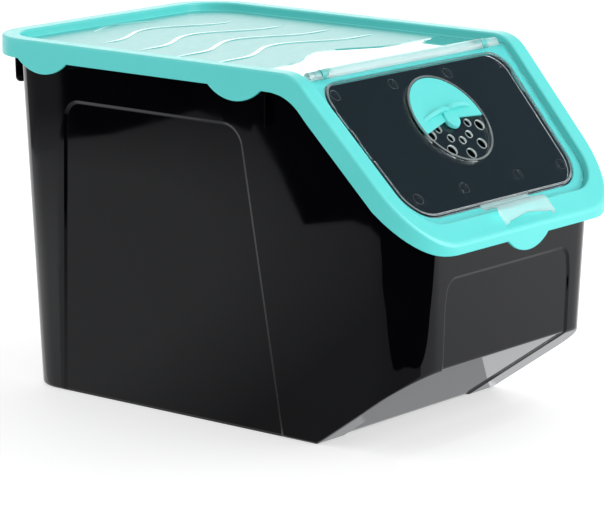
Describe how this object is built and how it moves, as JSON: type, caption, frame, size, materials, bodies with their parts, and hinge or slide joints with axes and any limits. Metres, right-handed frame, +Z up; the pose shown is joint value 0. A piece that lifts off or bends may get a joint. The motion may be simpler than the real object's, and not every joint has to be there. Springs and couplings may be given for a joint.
{
  "type": "rice bin with flip lid",
  "caption": "Sloped-front dry-food bin: black tub, teal lift-off lid frame, clear flip lid with a finger latch and a rotary air vent.",
  "frame": {"origin": "centre of the closed bin's footprint, on the surface that it stands on", "axes": "+Z up, +Y towards the rear, -Y towards the sloped front with the flip lid, +X to the right of someone facing +Y"},
  "size_m": [0.236, 0.3696, 0.24],
  "materials": {
    "tub": "gloss black",
    "lid_frame": "semi-gloss teal",
    "flip_lid": "clear, with a frosted latch and hinge bar",
    "vent_shutter": "semi-gloss teal"
  },
  "bodies": {
    "tub": {"tub": "tub"},
    "lid_frame": {"lid_frame": "lid_frame"},
    "flip_lid": {"flip_lid": "flip_lid"},
    "vent_shutter": {"vent_shutter": "vent_shutter"}
  },
  "joints": [
    {"name": "lid_lift", "type": "slide", "parent": "tub", "child": "lid_frame", "axis": [0, 0, 1], "range_m": [0, 0.13]},
    {"name": "flip_lid_hinge", "type": "hinge", "parent": "lid_frame", "child": "flip_lid", "pos_m": [0, -0.08261, 0.23592], "axis": [-1, 0, 0], "range_deg": [0, 215]},
    {"name": "vent_turn", "type": "hinge", "parent": "flip_lid", "child": "vent_shutter", "pos_m": [0, -0.12204, 0.20291], "axis": [0, -0.723, 0.6909], "range_deg": [-5, 175]}
  ]
}
